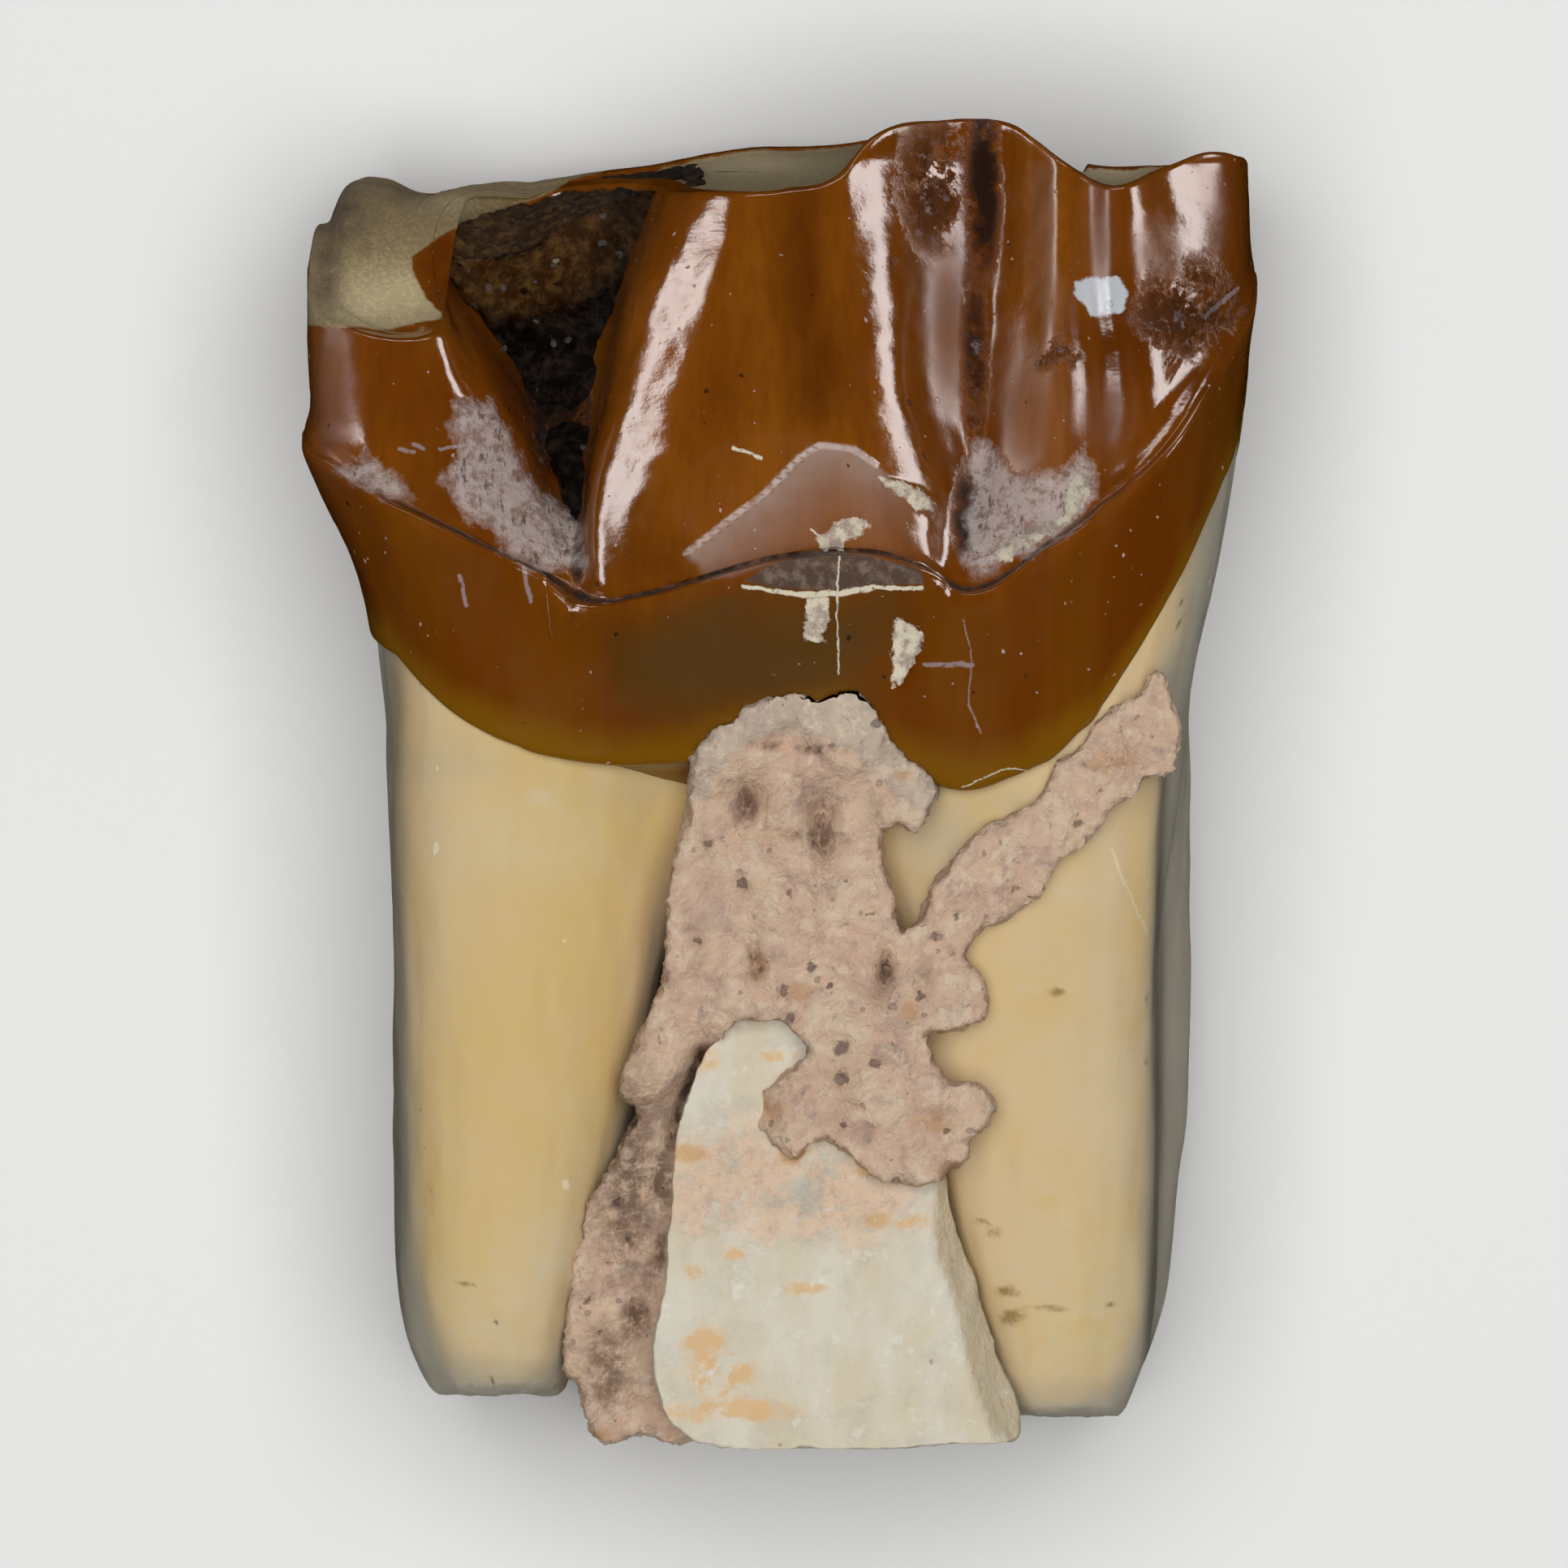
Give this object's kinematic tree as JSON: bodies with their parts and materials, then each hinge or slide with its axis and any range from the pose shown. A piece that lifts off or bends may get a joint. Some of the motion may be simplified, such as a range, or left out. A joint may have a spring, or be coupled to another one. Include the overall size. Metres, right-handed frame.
{
  "type": "fossil tooth",
  "caption": "Fossil cheek tooth with a worn, ridged brown crown and long roots that still hold jaw bone and sandstone, lying on its side.",
  "frame": {"origin": "centre of the bounding box in X and Y, on the surface that the tooth lies on", "axes": "+X along the tooth row towards its front, +Y from the roots to the worn top, +Z from the tongue side that lies down to the outer side"},
  "size_m": [0.0224, 0.031, 0.013],
  "materials": {
    "tooth": "polished brown enamel crown, waxy cream roots",
    "rock_matrix": "rough",
    "jaw_bone": "matt",
    "valley_sediment": "rough"
  },
  "bodies": {
    "root": {"tooth": "tooth", "rock_matrix": "rock_matrix", "jaw_bone": "jaw_bone", "valley_sediment": "valley_sediment"}
  },
  "joints": []
}
